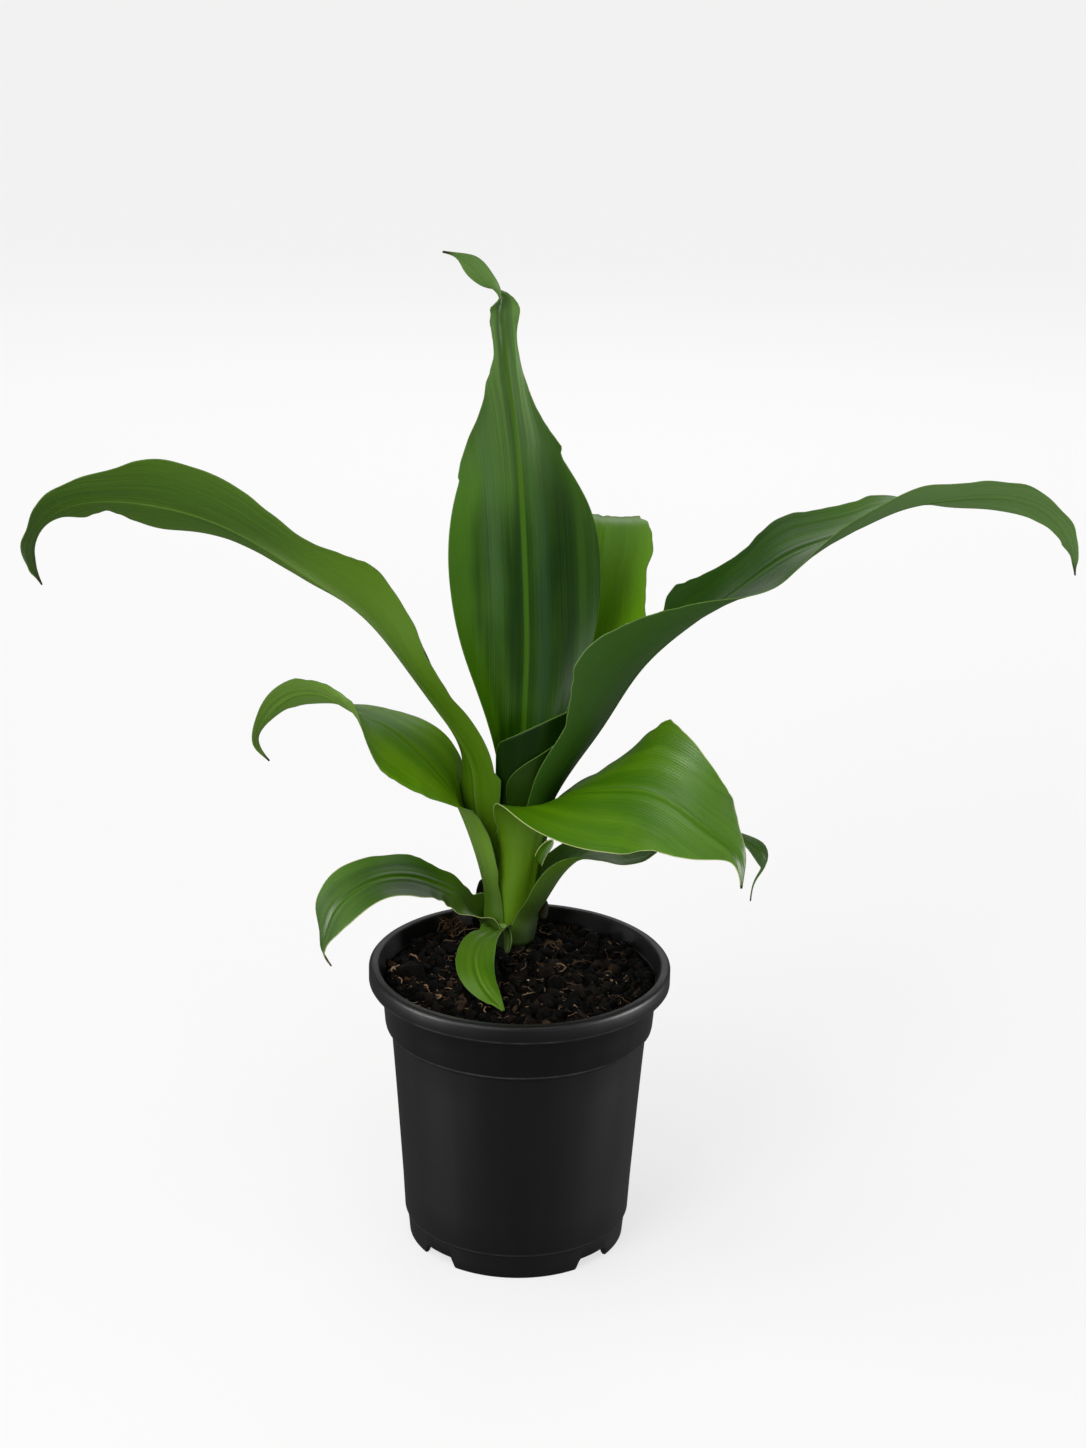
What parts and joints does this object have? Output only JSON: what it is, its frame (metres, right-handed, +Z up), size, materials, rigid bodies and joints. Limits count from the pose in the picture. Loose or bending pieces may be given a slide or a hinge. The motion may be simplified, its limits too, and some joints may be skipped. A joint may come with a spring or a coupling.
{
  "type": "potted corn plant",
  "caption": "Young corn plant with broad arching strap leaves on a short stem, growing in a black plastic nursery pot filled with potting soil.",
  "frame": {"origin": "on the floor under the middle of the plant's footprint; the pot's axis is at x -0.0107 m, y -0.0474 m", "axes": "+Z up, +X to the right across the widest spread of the leaves, -Y towards the viewer"},
  "size_m": [0.4672, 0.2348, 0.4596],
  "materials": {
    "black_plastic": "satin",
    "potting_soil": "matte",
    "stem_green": "satin",
    "leaf_upright_green": "satin",
    "leaf_back_green": "satin",
    "leaf_right_green": "satin",
    "leaf_left_green": "satin",
    "leaf_mid_left_green": "satin",
    "leaf_front_right_green": "satin",
    "leaf_low_right_green": "satin",
    "leaf_low_left_green": "satin",
    "leaf_front_green": "satin"
  },
  "bodies": {
    "root": {"pot": "black_plastic", "soil": "potting_soil", "stem": "stem_green", "leaf_upright": "leaf_upright_green", "leaf_back": "leaf_back_green", "leaf_right": "leaf_right_green", "leaf_left": "leaf_left_green", "leaf_mid_left": "leaf_mid_left_green", "leaf_front_right": "leaf_front_right_green", "leaf_low_right": "leaf_low_right_green", "leaf_low_left": "leaf_low_left_green", "leaf_front": "leaf_front_green"}
  },
  "joints": []
}
